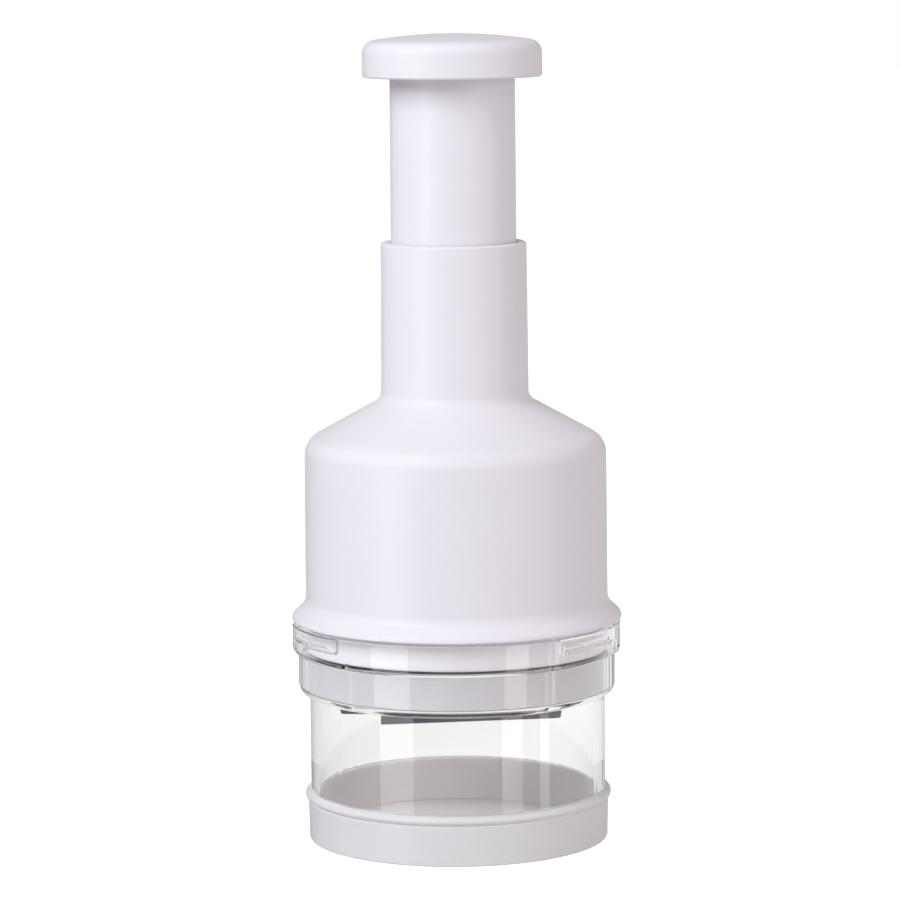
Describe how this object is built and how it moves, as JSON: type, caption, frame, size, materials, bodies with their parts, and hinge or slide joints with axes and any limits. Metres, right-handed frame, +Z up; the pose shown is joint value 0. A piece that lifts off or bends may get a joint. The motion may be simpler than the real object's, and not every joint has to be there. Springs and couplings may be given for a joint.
{
  "type": "plunger food chopper",
  "caption": "Upright press-down food chopper with a round knob, a white bottle-shaped housing, a turning zigzag blade, a clear twist-off chamber and a pull-off base cup.",
  "frame": {"origin": "centre of the underside of the base cup, on the surface that the chopper stands on", "axes": "+Z up along the plunger axis towards the knob, -Y towards the front view"},
  "size_m": [0.0966, 0.0966, 0.2353],
  "materials": {
    "white_abs": "satin gloss moulded ABS",
    "guard_plastic": "satin moulded polypropylene",
    "cup_plastic": "satin moulded polypropylene",
    "acetal": "natural acetal",
    "clear_san": "clear polished SAN",
    "blade_steel": "cold-rolled stainless strip, ground edge",
    "turned_steel": "bright turned stainless",
    "spring_steel": "drawn spring wire"
  },
  "bodies": {
    "housing": {"housing": "white_abs", "guide_plate": "guard_plastic", "guide_plate_screws": "turned_steel", "index_ring": "acetal", "shaft_bush": "acetal", "lower_spring_seat": "turned_steel", "return_spring": "spring_steel"},
    "plunger": {"knob": "white_abs", "plunger_tube": "white_abs", "upper_spring_seat": "turned_steel", "thrust_washer": "turned_steel"},
    "blade_unit": {"blade_shaft": "turned_steel", "shaft_clip": "turned_steel", "shaft_pin": "turned_steel", "index_crown": "acetal", "crown_screws": "turned_steel", "blade_holder": "guard_plastic", "zigzag_blade": "blade_steel"},
    "guard": {"blade_guard": "guard_plastic"},
    "chamber": {"chopping_chamber": "clear_san"},
    "base": {"base_cup": "cup_plastic"}
  },
  "joints": [
    {"name": "plunger_press", "type": "slide", "parent": "housing", "child": "plunger", "axis": [0, 0, -1], "range_m": [0, 0.036], "stiffness_N_per_m": 400, "springref_m": -0.012, "deforming": ["return_spring"]},
    {"name": "blade_index", "type": "hinge", "parent": "plunger", "child": "blade_unit", "pos_m": [0, 0, 0.09], "axis": [0, 0, 1], "range_deg": [-30, 0]},
    {"name": "guard_turn", "type": "hinge", "parent": "housing", "child": "guard", "pos_m": [0, 0, 0.045], "axis": [0, 0, 1], "range_deg": [-30, 0]},
    {"name": "chamber_twist", "type": "hinge", "parent": "housing", "child": "chamber", "pos_m": [0, 0, 0.06], "axis": [0, 0, -1], "range_deg": [0, 32]},
    {"name": "base_release", "type": "slide", "parent": "chamber", "child": "base", "axis": [0, 0, -1], "range_m": [0, 0.04]}
  ],
  "couplings": [
    {"joint": "blade_index", "follows": "plunger_press", "rad_per_m": -14.54},
    {"joint": "guard_turn", "follows": "plunger_press", "rad_per_m": -14.54}
  ]
}
